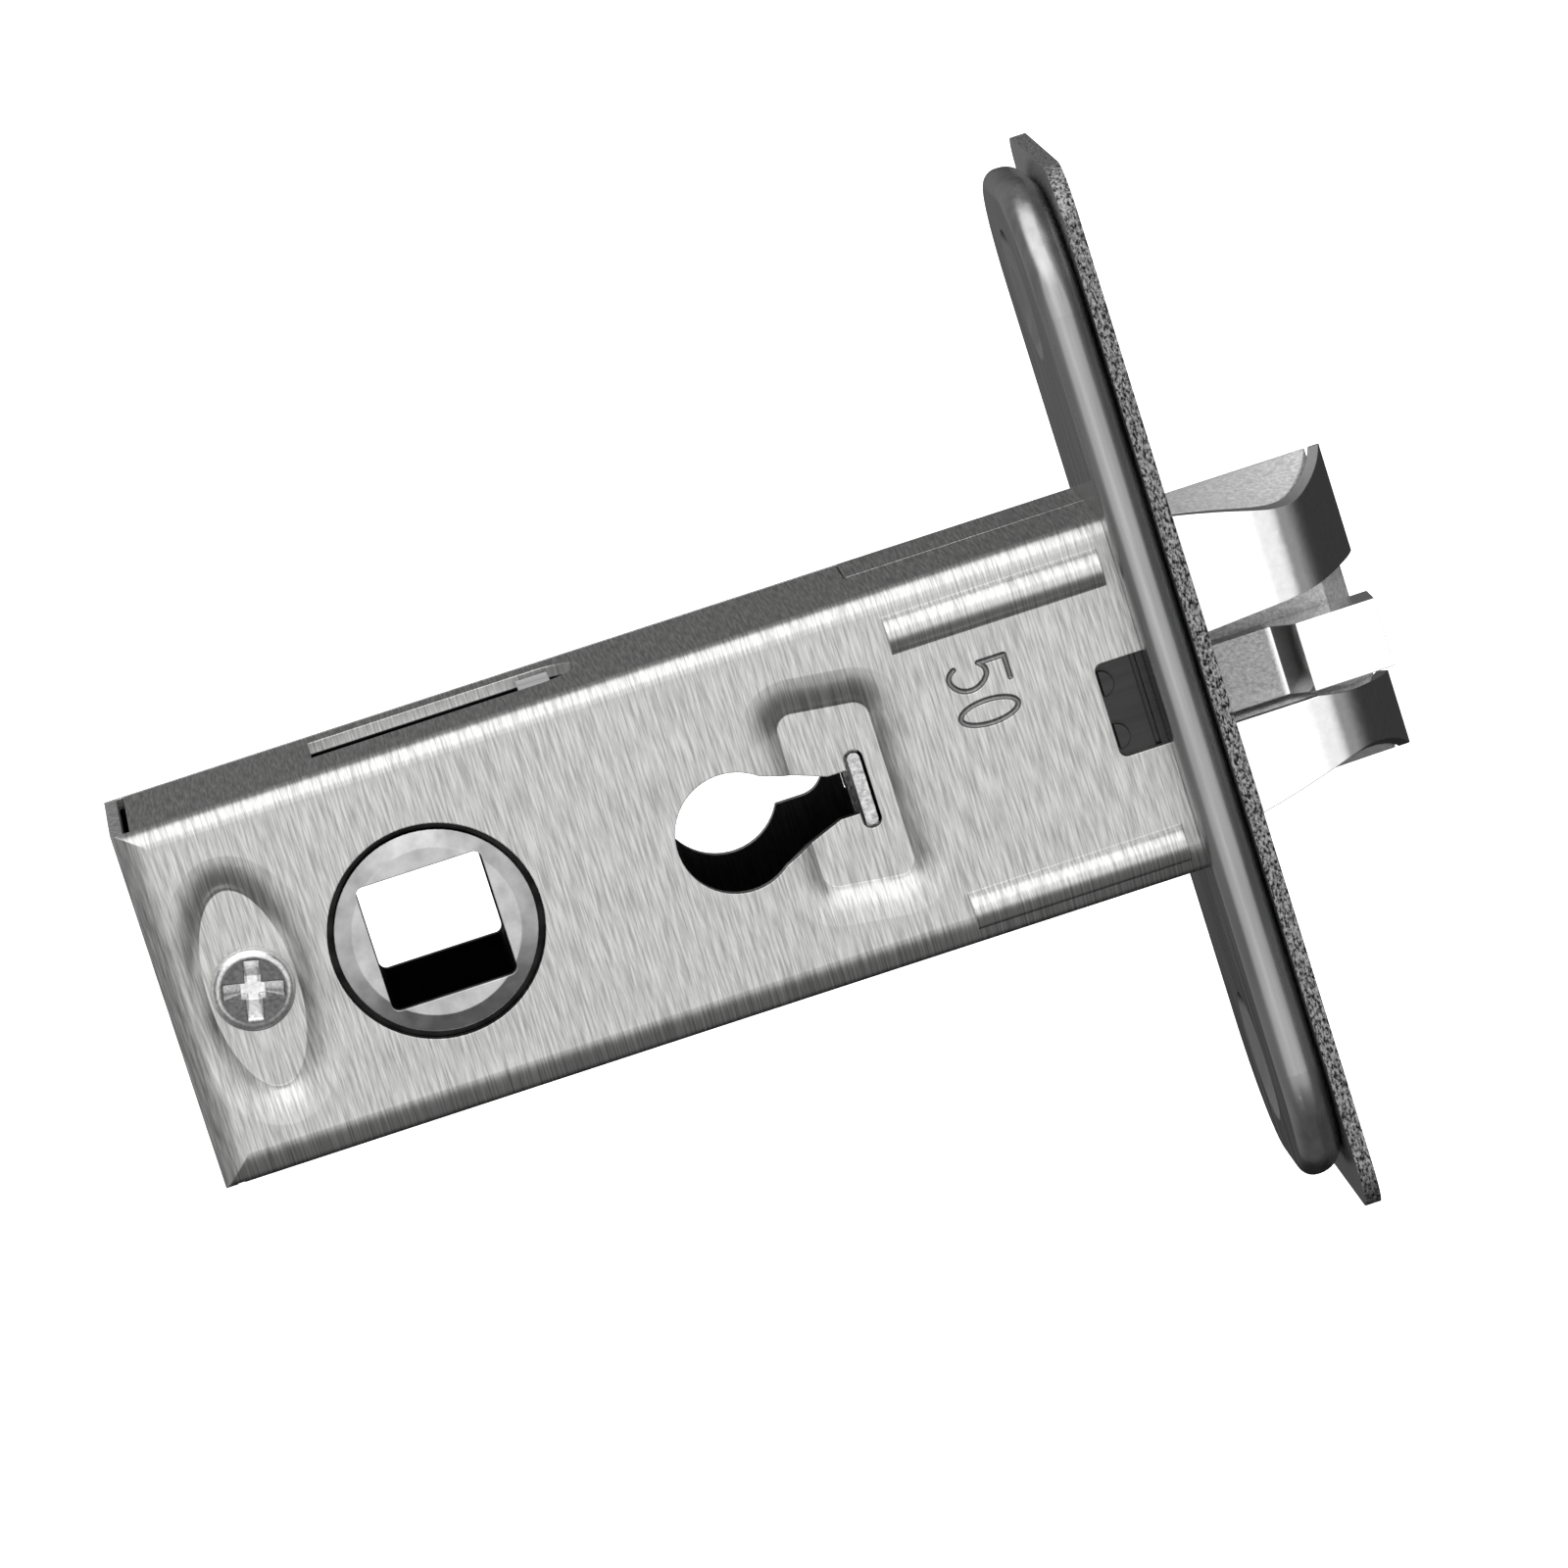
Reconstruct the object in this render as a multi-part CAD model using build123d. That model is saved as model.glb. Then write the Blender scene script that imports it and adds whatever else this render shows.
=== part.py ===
from build123d import *
import math
import os

# Frame: +X is the way the bolt shoots, +Z runs up the faceplate, the marked face looks along -Y.
# X is zero on the front of the faceplate, Y and Z are zero on the bolt line.

# Case
BACKSET = 50.0
HUB_TO_REAR = 17.1
CASE_HEIGHT = 23.0
CASE_DEPTH = 15.0
SHEET = 0.8
BEND_R = 1.2
FOLD_R = 2.0
COVER_GAP = 0.1
CORNER_GAP = 0.45
COVER_EDGE_R = 0.55
SEAM_START = 15.6
SEAM_Y = 1.0
BEAD_LENGTH = 13.7
BEAD_R = 1.2
BEAD_SINK = 0.25
BEAD_UPPER_Z = 8.7
BEAD_LOWER_Z = -9.2
BEAD_FRONT_STOP = 0.9
WINDOW_LENGTH = 3.15
WINDOW_HALF = 3.0
WINDOW_CORNER = 0.5
SLOT_FROM_HUB = -4.0
SLOT_LENGTH = 17.3
SLOT_WIDTH = 5.6
SLOT_Y = 1.6

# Pressed recesses
RECESS_DEPTH = 1.0
RECESS_SLOPE = 2.3
# Rings of a pressing, as shares of its slope and of its depth
RECESS_RINGS = ((1, 0), (0.76, 0.05), (0.5, 0.19), (0.14, 0.64), (0, 1))
SCREW_FROM_HUB = 11.7
LENS_HALF_LENGTH = 6.3
LENS_HALF_WIDTH = 2.8
FIXING_FROM_HUB = 19.2
FIXING_HOLE = 7.5
NECK_WIDE_HALF = 2.9
NECK_HALF = 1.4
NECK_TAPER = 4.0
BACK_NECK_HALF = 1.7
BACK_NECK_LENGTH = 6.8
PLATE_FROM_HUB = 27.4
TAB_HALF = 2.3
TAB_ROUND = 0.35
TAB_CLEAR = 0.2
BACK_TAB_CLEAR = 0.05
POCKET_HALF = 5.6
POCKET_BEHIND = 3.95
POCKET_AHEAD = 1.75
POCKET_CORNER = 1.0
POCKET_LEAN = 7.5

# Size mark
MARK_DEPTH = 0.15
MARK_STROKE = 0.34
MARK_HEIGHT = 3.65
MARK_WIDTH = 1.45
MARK_FROM_HUB = 34.35
MARK_TOP = 5.4
MARK_STEP = 2.35
FIVE_BAR_END = 0.55
# Points on the five's bowl after the bar, as shares of the figure's width and height
FIVE_BOWL = ((0.5, 0.64), (1, 0.42), (0.9, 0.12), (0.45, 0), (0, 0.12))

# Faceplate
PLATE_LENGTH = 67.4
PLATE_DROP = 0.4
PLATE_WIDTH = 23.0
PLATE_THICK = 1.0
PLATE_CORNER = 3.0
TRAY_LENGTH = 65.0
TRAY_WIDTH = 21.4
TRAY_DEPTH = 2.85
TRAY_CORNER = 8.0
TRAY_RIM = 1.0
TRAY_SHEET = 0.9
TRAY_LIP = 1.7
TRAY_SEAT = 0.15
FIX_SPACING = 50.0
FIX_HOLE = 4.2
FIX_SINK = 5.4
DIMPLE = 8.4
TIE_LENGTH = 6.0
TIE_HALF = 4.2
NUB_R = 0.8
NUB_LIFT = 0.6
TIE_GROOVE = 0.32

# Hub
HUB_DIAMETER = 12.5
RUN_CLEAR = 0.43
SPINDLE = 8.0
SPINDLE_CORNER = 0.5
HUB_BEVEL = 1.05
HUB_BEVEL_DROP = 0.3
COLLAR_R = 6.9
COLLAR_THICK = 1.2
HORN_TILT = 38.5
HORN_HALF_WIDTH = 0.8
HORN_ROOT = 2.6
HORN_HALF_DEPTH = 2.0

# Bolt
MOVE_CLEAR = 0.35
SIDE_CLEAR = 0.15
BOLT_DEPTH = 8.0
BOLT_OUT = 11.3
BEVEL_START = 4.8
BEVEL_REACH = 0.69
BEVEL_RISE = 0.41
BEVEL_TIP_LEAN = 13.0
CAP_THICK = 0.7
CAP_START = 0.6
CAP_GAP = 0.25
SCALLOP_X = 6.0
SCALLOP_START = 0.2
SCALLOP_MIDDLE = 1.75
SCALLOP_END = 4.4
NOTCH_TOP = 2.1
FLARE_START = 6.0
UPPER_FLARE = 0.75
LOWER_FLARE = 1.5
BODY_LENGTH = 10.5
TAIL_LENGTH = 5.0
TAIL_WALL = 0.5
TAIL_END = 1.0
STRAP = 0.7
STRAP_BACK = 4.0
STRAP_FRONT = -2.4
STRAP_PAST_SLOT = 0.9
HOOK_GAP = 0.4
STRAP_RIVET_R = 0.8
STRAP_RIVET_Y = 2.8
STRAP_RIVET_DEPTH = 1.2
STRAP_GUIDE_LENGTH = 2.0
GUIDE_FROM_END = 1.9
STRAP_HOLE_R = 1.4
STRAP_HOLE_FROM_END = 0.7

# Middle tongue
TONGUE_TOP = 0.95
TONGUE_BOTTOM = -3.45
TONGUE_OUT = 11.0
TONGUE_TRAVEL = 6.0
TONGUE_THICK = 3.3
HEEL_BACK = 2.1
TONGUE_NECK = 1.8
NECK_END = 4.5
RAMP_LENGTH = 1.4
TONGUE_TAIL = 6.0

# Springs
BOLT_COIL_R = 1.85
BOLT_WIRE_R = 0.25
BOLT_TURNS = 11
COIL_POCKET_R = 2.4
COIL_POCKET_END = 1.5
TONGUE_COIL_R = 1.7
TONGUE_WIRE_R = 0.2
TONGUE_TURNS = 5

# Rear screw
SCREW_R = 1.45
SCREW_LENGTH = 5.7
SCREW_HEAD_R = 2.6
SCREW_HEAD_H = 0.95
CROSS_LENGTH = 3.8
CROSS_WIDTH = 1.0
CROSS_FLOOR_LENGTH = 1.5
CROSS_FLOOR_WIDTH = 0.7
CROSS_DEPTH = 1.3
CROSS_TURN = 13.0
HEAD_EDGE_R = 0.55
POST_R = 2.5
THREAD_CLEAR = 0.05
SPIGOT_R = 1.8

# Worked-out positions
HUB_X = -BACKSET
REAR_X = HUB_X - HUB_TO_REAR
SEAT_X = -(PLATE_THICK + TRAY_DEPTH)
FRONT_Y = -CASE_DEPTH / 2
BACK_Y = CASE_DEPTH / 2
IN_FRONT = FRONT_Y + SHEET
IN_BACK = BACK_Y - SHEET
FLANGE_Y = IN_BACK - COVER_GAP
TOP_Z = CASE_HEIGHT / 2
IN_Z = TOP_Z - SHEET
SCREW_X = HUB_X - SCREW_FROM_HUB
FIXING_X = HUB_X + FIXING_FROM_HUB
SPRING_PLATE_X = HUB_X + PLATE_FROM_HUB
SEAT_FACE_X = SPRING_PLATE_X + SHEET / 2
FLOOR_Y = FRONT_Y + RECESS_DEPTH
UNDER_Y = FLOOR_Y + SHEET
STRAP_TOP = IN_Z - SIDE_CLEAR
BOLT_HALF = STRAP_TOP - STRAP
BOLT_Y = BOLT_DEPTH / 2
CHANNEL_TOP = TONGUE_TOP + MOVE_CLEAR
NOTCH_BOTTOM = TONGUE_BOTTOM - MOVE_CLEAR
TONGUE_BACK = TONGUE_THICK - BOLT_Y
CHANNEL_FLOOR = TONGUE_BACK + MOVE_CLEAR
CHANNEL_BACK = HEEL_BACK + MOVE_CLEAR
UPPER_COIL_Z = (BOLT_HALF + NOTCH_TOP) / 2
LOWER_COIL_Z = (NOTCH_BOTTOM - BOLT_HALF) / 2
HORN_R = BOLT_HALF - MOVE_CLEAR
HORN_TURN = math.radians(HORN_TILT)
HUB_HOLE_R = HUB_DIAMETER / 2 + RUN_CLEAR
HOOK_BOTTOM = HUB_HOLE_R + SIDE_CLEAR
HOOK_X = HUB_X + HOOK_BOTTOM * math.tan(HORN_TURN) - HORN_HALF_WIDTH / math.cos(HORN_TURN) - HOOK_GAP
SLOT_REAR = HUB_X + SLOT_FROM_HUB
SLOT_END = SLOT_REAR + SLOT_LENGTH
BODY_REAR = -BODY_LENGTH
STRAP_RIVET_X = (BODY_REAR + SEAT_X) / 2
TAIL_REAR = BODY_REAR - TAIL_LENGTH
TONGUE_REAR = -TONGUE_TAIL
TONGUE_MID = (TONGUE_TOP + TONGUE_BOTTOM) / 2


def block(x0, x1, y0, y1, z0, z1):
    return Pos((x0 + x1) / 2, (y0 + y1) / 2, (z0 + z1) / 2) * Box(x1 - x0, y1 - y0, z1 - z0)


def rod_x(r, x0, x1, y, z):
    return Pos((x0 + x1) / 2, y, z) * Rot(0, 90, 0) * Cylinder(r, x1 - x0)


def rod_y(r, x, y0, y1, z):
    return Pos(x, (y0 + y1) / 2, z) * Rot(90, 0, 0) * Cylinder(r, y1 - y0)


def rod_z(r, x, y, z0, z1):
    return Pos(x, y, (z0 + z1) / 2) * Cylinder(r, z1 - z0)


def face_plane(y):
    # A drawing plane parallel to the marked face: X across, Z up, growing towards the viewer.
    return Plane(origin=(0, y, 0), x_dir=(1, 0, 0), z_dir=(0, -1, 0))


def across(sketch, y0, y1):
    # A drawing in X and Z made solid between two depths.
    return extrude(face_plane(y1) * sketch, amount=y1 - y0)


def edge_plane(x):
    # A drawing plane parallel to the faceplate: Y across, Z up, growing along the bolt line.
    return Plane(origin=(x, 0, 0), x_dir=(0, 1, 0), z_dir=(1, 0, 0))


def lens(grow):
    # An upright oval, widened all round by grow.
    return Pos(SCREW_X, 0) * Ellipse(LENS_HALF_WIDTH + grow, LENS_HALF_LENGTH + grow)


def pocket(grow):
    # The oblong pressed in around the fixing hole's front side; its ends lean down towards the faceplate.
    lean = math.radians(POCKET_LEAN)
    x0 = SPRING_PLATE_X - POCKET_BEHIND - grow
    x1 = SPRING_PLATE_X + POCKET_AHEAD + grow
    half = POCKET_HALF + grow / math.cos(lean)
    fall = (x1 - x0) / 2 * math.tan(lean)
    rear = [(x0, fall + half), (x0, fall - half)]
    front = [(x1, -fall - half), (x1, half - fall)]
    outline = make_face(Polyline(*rear, *front, close=True))
    return fillet(outline.vertices(), POCKET_CORNER + grow)


def dish(outline, y0, y1, grow0, grow1):
    # A sloped-sided solid between two sizes of the same outline.
    return loft([face_plane(y0) * outline(grow0), face_plane(y1) * outline(grow1)])


def pressing(outline):
    # A hollow that leaves the marked face gently and steepens down to a flat floor.
    rings = []
    for reach, sink in RECESS_RINGS:
        rings.append(face_plane(FRONT_Y + sink * RECESS_DEPTH) * outline(reach * RECESS_SLOPE))
    return loft(rings)


def tab_outline(grow):
    # The round-ended tab of the spring plate, widened all round by grow.
    height = 2 * (TAB_HALF + grow)
    return Pos(SPRING_PLATE_X, 0) * RectangleRounded(SHEET + 2 * grow, height, TAB_ROUND + grow)


def keyhole():
    # Round fixing hole with a narrowing neck that ends at the slit for the spring plate's tab.
    r = FIXING_HOLE / 2
    x_wide = FIXING_X + math.sqrt(r ** 2 - NECK_WIDE_HALF ** 2)
    x_narrow = x_wide + NECK_TAPER
    lower = [(FIXING_X, -NECK_WIDE_HALF), (x_wide, -NECK_WIDE_HALF)]
    lower += [(x_narrow, -NECK_HALF), (SPRING_PLATE_X, -NECK_HALF)]
    upper = [(x, -z) for x, z in reversed(lower)]
    neck = make_face(Polyline(*lower, *upper, close=True))
    return Pos(FIXING_X, 0) * Circle(r) + neck + tab_outline(TAB_CLEAR)


def back_keyhole():
    # The cover's fixing hole, whose shorter neck ends round, and its own slit for the tab.
    length = BACK_NECK_LENGTH - BACK_NECK_HALF
    neck = Pos(FIXING_X + length / 2, 0) * Rectangle(length, 2 * BACK_NECK_HALF)
    neck += Pos(FIXING_X + length, 0) * Circle(BACK_NECK_HALF)
    return Pos(FIXING_X, 0) * Circle(FIXING_HOLE / 2) + neck + tab_outline(BACK_TAB_CLEAR)


def stroke(path):
    # A round tool run along one line of a figure, with its two ends rounded.
    tool = MARK_STROKE / 2
    run = sweep(Plane(origin=path @ 0, z_dir=path % 0) * Circle(tool), path=path)
    return run + Pos(path @ 0) * Sphere(tool) + Pos(path @ 1) * Sphere(tool)


def size_mark():
    # The backset in two plain figures, read downwards with their tops towards the faceplate.
    top = MARK_HEIGHT
    wide = MARK_WIDTH
    corner = (0, FIVE_BAR_END * top)
    bowl = Spline(corner, *[(x * wide, z * top) for x, z in FIVE_BOWL])
    five = stroke(Line((wide, top), (0, top))) + stroke(Line((0, top), corner)) + stroke(bowl)
    ring = Pos(MARK_STEP + wide / 2, top / 2) * Ellipse(wide / 2, top / 2).edge()
    nought = sweep(Plane(origin=ring @ 0, z_dir=ring % 0) * Circle(MARK_STROKE / 2), path=ring)
    sunk = face_plane(FRONT_Y + MARK_DEPTH - MARK_STROKE / 2)
    turned = Pos(HUB_X + MARK_FROM_HUB, MARK_TOP) * Rot(0, 0, -90)
    return [sunk * turned * figure for figure in (five, nought)]


def folded_box(x0, x1, y0, y1, half, top_r, fold_r):
    # A box whose marked face is folded tightly at the top and softly at the bottom and rear.
    section = Pos((y0 + y1) / 2, 0) * Rectangle(y1 - y0, 2 * half)
    section = fillet(section.vertices().sort_by(Axis.X)[:2].sort_by(Axis.Y)[-1], top_r)
    section = fillet(section.vertices().sort_by(Axis.Y)[:2].sort_by(Axis.X)[0], fold_r)
    outline = Pos((x0 + x1) / 2, (y0 + y1) / 2) * Rectangle(x1 - x0, y1 - y0)
    outline = fillet(outline.vertices().sort_by(Axis.X)[:2].sort_by(Axis.Y)[0], fold_r)
    folded = extrude(edge_plane(x0) * section, amount=x1 - x0)
    return folded & extrude(Plane.XY.offset(-half) * outline, amount=2 * half)


def front_shell():
    shell = folded_box(REAR_X, SEAT_X, FRONT_Y, FLANGE_Y, TOP_Z, BEND_R, FOLD_R)
    # half-round beads pressed outwards, square at both ends
    wall = SHEET / 2
    bead_front = SEAT_X - BEAD_FRONT_STOP
    bead_rear = bead_front - BEAD_LENGTH
    for z in (BEAD_UPPER_Z, BEAD_LOWER_Z):
        shell += rod_x(BEAD_R, bead_rear, bead_front, FRONT_Y + BEAD_SINK, z)
    inside_x = (REAR_X + SHEET, SEAT_X + SHEET)
    inside_y = (IN_FRONT, FLANGE_Y + SHEET)
    shell -= folded_box(*inside_x, *inside_y, IN_Z, BEND_R - SHEET, FOLD_R - SHEET)
    for z in (BEAD_UPPER_Z, BEAD_LOWER_Z):
        shell -= rod_x(BEAD_R - wall, bead_rear + wall, bead_front - wall, IN_FRONT - BEAD_SINK, z)
    # pressed recesses, with their floors carried inside the case
    for outline in (lens, pocket):
        shell += dish(outline, IN_FRONT, UNDER_Y, 2 * SHEET, SHEET / 2)
        shell -= pressing(outline)
    # openings in the marked face
    shell -= rod_y(HUB_HOLE_R, HUB_X, FRONT_Y - SHEET, IN_FRONT + SHEET, 0)
    shell -= across(keyhole(), FRONT_Y - SHEET, UNDER_Y + SHEET)
    shell -= rod_y(SCREW_R + SIDE_CLEAR, SCREW_X, FRONT_Y, UNDER_Y + SHEET, 0)
    window = Pos(SEAT_X, 0) * RectangleRounded(2 * WINDOW_LENGTH, 2 * WINDOW_HALF, WINDOW_CORNER)
    shell -= across(window, FRONT_Y - SHEET, IN_FRONT + SHEET)
    # guide slot in the top
    y0 = SLOT_Y - SLOT_WIDTH / 2
    round_x = SLOT_END - SLOT_WIDTH / 2
    shell -= block(SLOT_REAR, round_x, y0, y0 + SLOT_WIDTH, IN_Z - SHEET, TOP_Z + SHEET)
    shell -= rod_z(SLOT_WIDTH / 2, round_x, SLOT_Y, IN_Z - SHEET, TOP_Z + SHEET)
    for sign in (1, -1):
        z0, z1 = sorted((sign * (IN_Z - COVER_GAP), sign * (TOP_Z + SHEET)))
        # the cover's front ears take over the flange here
        shell -= block(SEAT_X - SEAM_START, SEAT_X + SHEET, SEAM_Y, FLANGE_Y + SHEET, z0, z1)
        # open gap between this flange and the rear one
        x0 = REAR_X + SHEET
        shell -= block(x0, x0 + CORNER_GAP, FRONT_Y + BEND_R, FLANGE_Y + SHEET, z0, z1)
    for figure in size_mark():
        shell -= figure
    return shell


def back_shell():
    cover = block(REAR_X, SEAT_X, IN_BACK, BACK_Y, -TOP_Z, TOP_Z)
    for sign in (1, -1):
        z0, z1 = sorted((sign * IN_Z, sign * TOP_Z))
        x0 = SEAT_X - SEAM_START + COVER_GAP
        cover += block(x0, SEAT_X, SEAM_Y + COVER_GAP, BACK_Y, z0, z1)
    rim = cover.faces().sort_by(Axis.Y)[-1].edges().sort_by(Axis.X)[:-1]
    cover = fillet(rim, COVER_EDGE_R)
    cover -= rod_y(HUB_HOLE_R, HUB_X, IN_BACK - SHEET, BACK_Y + SHEET, 0)
    cover -= across(back_keyhole(), IN_BACK - SHEET, BACK_Y + SHEET)
    return cover - rod_y(SPIGOT_R, SCREW_X, IN_BACK - SHEET, BACK_Y + SHEET, 0)


def bolt_opening(x0, x1):
    half_y = BOLT_Y + MOVE_CLEAR
    half_z = BOLT_HALF + MOVE_CLEAR
    return block(x0, x1, -half_y, half_y, -half_z, half_z)


def forend_tray():
    outline = RectangleRounded(TRAY_WIDTH, TRAY_LENGTH, TRAY_CORNER)
    tray = extrude(edge_plane(SEAT_X) * outline, amount=TRAY_DEPTH)
    tray = fillet(tray.faces().sort_by(Axis.X)[0].edges(), TRAY_RIM)
    tray = fillet(tray.faces().sort_by(Axis.X)[-1].edges(), TRAY_LIP)
    # the hollow leaves a narrow flat rim that seats on the plate
    wall = TRAY_LIP + TRAY_SEAT
    inner = RectangleRounded(TRAY_WIDTH - 2 * wall, TRAY_LENGTH - 2 * wall, TRAY_CORNER - wall)
    tray -= extrude(edge_plane(SEAT_X + TRAY_SHEET) * inner, amount=TRAY_DEPTH)
    tray -= bolt_opening(SEAT_X - SHEET, 0)
    for sign in (1, -1):
        at = Pos(SEAT_X + TRAY_SHEET / 2, 0, sign * FIX_SPACING / 2)
        tray -= at * Rot(0, 90, 0) * Cone(DIMPLE / 2, FIX_SINK / 2, TRAY_SHEET)
    return tray


def forend_plate():
    outline = Pos(0, -PLATE_DROP) * RectangleRounded(PLATE_WIDTH, PLATE_LENGTH, PLATE_CORNER)
    plate = extrude(edge_plane(-PLATE_THICK) * outline, amount=PLATE_THICK)
    plate -= bolt_opening(-2 * PLATE_THICK, PLATE_THICK)
    for sign in (1, -1):
        z = sign * FIX_SPACING / 2
        plate -= rod_x(FIX_HOLE / 2, -2 * PLATE_THICK, PLATE_THICK, 0, z)
        sink = (FIX_SINK - FIX_HOLE) / 2
        plate -= Pos(-sink / 2, 0, z) * Rot(0, 90, 0) * Cone(FIX_HOLE / 2, FIX_SINK / 2, sink)
    return plate


def tie(sign):
    # A bent plate that hooks one side of the case to the faceplate; the front one shows in the window.
    y0, y1 = sorted((sign * IN_BACK, sign * (IN_BACK - SHEET)))
    plate = block(SEAT_X - TIE_LENGTH, SEAT_X, y0, y1, -TIE_HALF, TIE_HALF)
    if sign < 0:
        edge = SEAT_X - WINDOW_LENGTH + SIDE_CLEAR
        nub_z = WINDOW_HALF - WINDOW_CORNER - NUB_R
        for z in (nub_z, -nub_z):
            nub = rod_y(NUB_R, edge, IN_FRONT - NUB_LIFT, IN_FRONT, z)
            plate += nub & block(edge, edge + NUB_R, FRONT_Y, IN_FRONT, z - NUB_R, z + NUB_R)
        groove = SEAT_X - NUB_R
        bottom = IN_FRONT + SHEET / 2
        plate -= block(groove, groove + TIE_GROOVE, IN_FRONT - SHEET, bottom, -TIE_HALF, TIE_HALF)
    return plate


def coil_spots():
    return (UPPER_COIL_Z, LOWER_COIL_Z)


def spring_plate():
    # The fixed cross plate that the bolt springs push against, staked through both sides of the case.
    x0 = SPRING_PLATE_X - SHEET / 2
    x1 = SPRING_PLATE_X + SHEET / 2
    half = BOLT_HALF - MOVE_CLEAR
    plate = block(x0, x1, UNDER_Y, IN_BACK, -half, half)
    plate += across(tab_outline(0), FLOOR_Y, BACK_Y)
    opening = CHANNEL_TOP + TAIL_WALL + MOVE_CLEAR
    floor = NOTCH_BOTTOM - TAIL_WALL - MOVE_CLEAR
    return plate - block(x0 - SHEET, x1 + SHEET, -BOLT_Y - MOVE_CLEAR, BOLT_Y + MOVE_CLEAR, floor, opening)


def rear_post():
    post = rod_y(POST_R, SCREW_X, UNDER_Y, IN_BACK, 0)
    post += rod_y(SPIGOT_R, SCREW_X, IN_BACK, BACK_Y, 0)
    return post - rod_y(SCREW_R + THREAD_CLEAR, SCREW_X, UNDER_Y - SHEET, FLOOR_Y + SCREW_LENGTH + SHEET, 0)


def rear_screw():
    top = FLOOR_Y - SCREW_HEAD_H
    head = rod_y(SCREW_HEAD_R, SCREW_X, top, FLOOR_Y, 0)
    head = fillet(head.faces().sort_by(Axis.Y)[0].edges(), HEAD_EDGE_R)
    screw = head + rod_y(SCREW_R, SCREW_X, FLOOR_Y, FLOOR_Y + SCREW_LENGTH, 0)
    # the cross recess narrows on its way down
    arms = loft([face_plane(top) * Rectangle(CROSS_LENGTH, CROSS_WIDTH),
                 face_plane(top + CROSS_DEPTH) * Rectangle(CROSS_FLOOR_LENGTH, CROSS_FLOOR_WIDTH)])
    arms += Rot(0, 90, 0) * arms
    return screw - Pos(SCREW_X, 0, 0) * Rot(0, CROSS_TURN, 0) * arms


def hub():
    r = HUB_DIAMETER / 2
    end = CASE_DEPTH / 2
    side = end - HUB_BEVEL_DROP
    # a round body whose two faces fall away in a shallow bevel
    flat = r - HUB_BEVEL
    profile = Polyline((0, -end), (flat, -end), (r, -side), (r, side), (flat, end), (0, end), close=True)
    body = Pos(HUB_X, 0, 0) * revolve(make_face(profile), axis=Axis.Y)
    for sign in (1, -1):
        y0, y1 = sorted((sign * (IN_BACK - SIDE_CLEAR), sign * (IN_BACK - SIDE_CLEAR - COLLAR_THICK)))
        body += rod_y(COLLAR_R, HUB_X, y0, y1, 0)
    # horns that lean towards the faceplate at rest and push the straps' hooks back
    rear = [(-HORN_HALF_WIDTH, 0), (-HORN_HALF_WIDTH, HORN_R)]
    front = [(HORN_HALF_WIDTH, HORN_R), (HORN_ROOT, r - HORN_HALF_WIDTH), (HORN_ROOT, 0)]
    finger = make_face(Polyline(*rear, *front, close=True))
    finger = Pos(HUB_X, 0) * Rot(0, 0, -HORN_TILT) * (finger & Circle(HORN_R))
    horn = across(finger, -HORN_HALF_DEPTH, HORN_HALF_DEPTH)
    body += horn
    body += mirror(horn, about=Plane.XY)
    square = Pos(HUB_X, 0) * RectangleRounded(SPINDLE, SPINDLE, SPINDLE_CORNER)
    return body - across(square, FRONT_Y - SHEET, BACK_Y + SHEET)


def bevel(x0, y0, x1):
    # The curved slope that leaves the near face smoothly and steepens towards the tip.
    y1 = BOLT_Y
    middle = (x0 + BEVEL_REACH * (x1 - x0), y0 + BEVEL_RISE * (y1 - y0))
    lean = math.radians(BEVEL_TIP_LEAN)
    return Spline((x0, y0), middle, (x1, y1), tangents=((1, 0), (math.sin(lean), math.cos(lean))))


def plan(edges, z0, z1):
    # A plan view drawing in X and Y made solid between two heights.
    return extrude(Plane.XY.offset(z0) * make_face(edges), amount=z1 - z0)


def scallop_section(y, start, middle, end):
    # One drawing of the hollow, from the faceplate to past the tip; the drops are below the bolt's top.
    x0 = CAP_START
    x1 = BOLT_OUT + SHEET
    top = BOLT_HALF + 2 * SHEET
    lower = Spline((x0, BOLT_HALF - start), (SCALLOP_X, BOLT_HALF - middle), (x1, BOLT_HALF - end))
    rest = Polyline((x1, BOLT_HALF - end), (x1, top), (x0, top), (x0, BOLT_HALF - start))
    return face_plane(y) * make_face([*lower.edges(), *rest.edges()])


def scallop():
    # The hollow in the near outer corner: it deepens towards the tip and runs out at the back.
    near = scallop_section(-BOLT_Y - SHEET, SCALLOP_START, SCALLOP_MIDDLE, SCALLOP_END)
    back = scallop_section(BOLT_Y, -SIDE_CLEAR, -SIDE_CLEAR, -SIDE_CLEAR)
    return loft([near, back], ruled=True)


def notch():
    # The gap between the two bevelled tongues, which opens towards the tips.
    out = BOLT_OUT + SHEET
    lower = [(0, NOTCH_BOTTOM), (FLARE_START, NOTCH_BOTTOM), (out, NOTCH_BOTTOM - LOWER_FLARE)]
    return make_face(Polyline(*lower, (out, NOTCH_TOP + UPPER_FLARE), (0, NOTCH_TOP), close=True))


def trim_head(head, notch_back):
    cut = scallop()
    return head - cut - mirror(cut, about=Plane.XY) - across(notch(), -2 * BOLT_Y, notch_back)


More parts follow.
